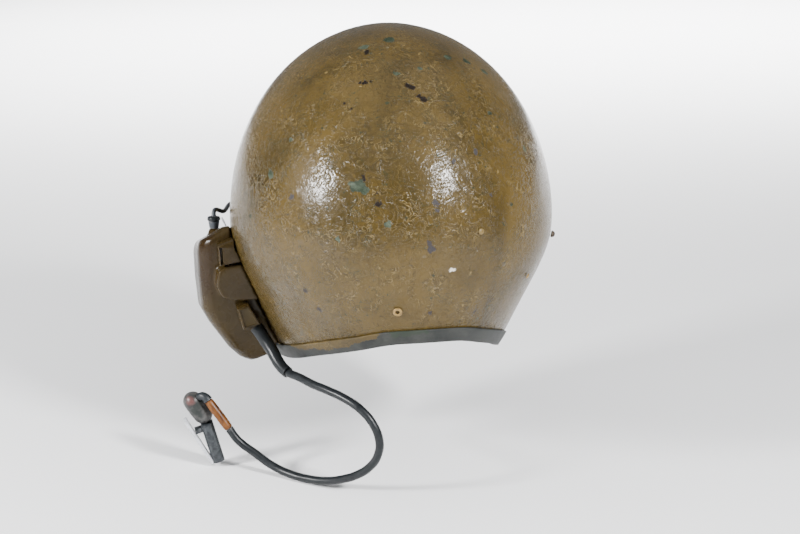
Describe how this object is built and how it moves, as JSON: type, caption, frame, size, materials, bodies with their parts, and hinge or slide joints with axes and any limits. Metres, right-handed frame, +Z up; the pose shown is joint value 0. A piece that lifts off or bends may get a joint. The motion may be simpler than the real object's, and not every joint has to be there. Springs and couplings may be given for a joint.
{
  "type": "tanker helmet",
  "caption": "Deep hard-shell crew helmet with a rubber edge trim, a moulded ear housing on the left and a microphone on a bendable boom.",
  "frame": {"origin": "inside the crown, at the middle of the inner face where the helmet sits on a head", "axes": "+Z up, the face looks along -Y, and the wearer's left is +X"},
  "size_m": [0.2892, 0.2771, 0.3452],
  "materials": {
    "shell_paint": "brushed olive-brown paint over a moulded fibre shell, satin, chipped to green, blue-grey and black",
    "housing_plastic": "olive-brown moulded plastic, glossy",
    "trim_rubber": "dark grey rubber, partly painted over",
    "black_rubber": "smooth black rubber, slightly glossy",
    "grey_rubber": "blue-grey rubber",
    "amber_sleeve": "amber shrink sleeve with red-brown streaks",
    "black_plastic": "black moulded plastic",
    "grey_plastic": "mottled grey plastic",
    "brass": "dull brass",
    "painted_rivet": "rivet painted over with the shell",
    "dark_metal": "dark tarnished metal"
  },
  "bodies": {
    "root": {"shell": "shell_paint", "edge_trim": "trim_rubber", "ear_housing": "housing_plastic", "rear_box": "housing_plastic", "outlet_box": "housing_plastic", "boom_sleeve": "black_rubber", "boom_tube": "black_rubber", "mic_collar": "amber_sleeve", "mic_neck": "black_plastic", "mic_head": "grey_plastic", "mic_body": "black_plastic", "mic_leaf": "grey_plastic", "mic_bridge": "black_plastic", "gland_body": "grey_rubber", "gland_cap": "black_rubber", "gland_strap": "grey_plastic", "gland_lead": "grey_rubber", "lead_grommet": "black_rubber", "nape_eyelet": "brass", "rear_rivet": "painted_rivet", "flank_rivet": "brass", "side_stud": "dark_metal"}
  },
  "joints": []
}
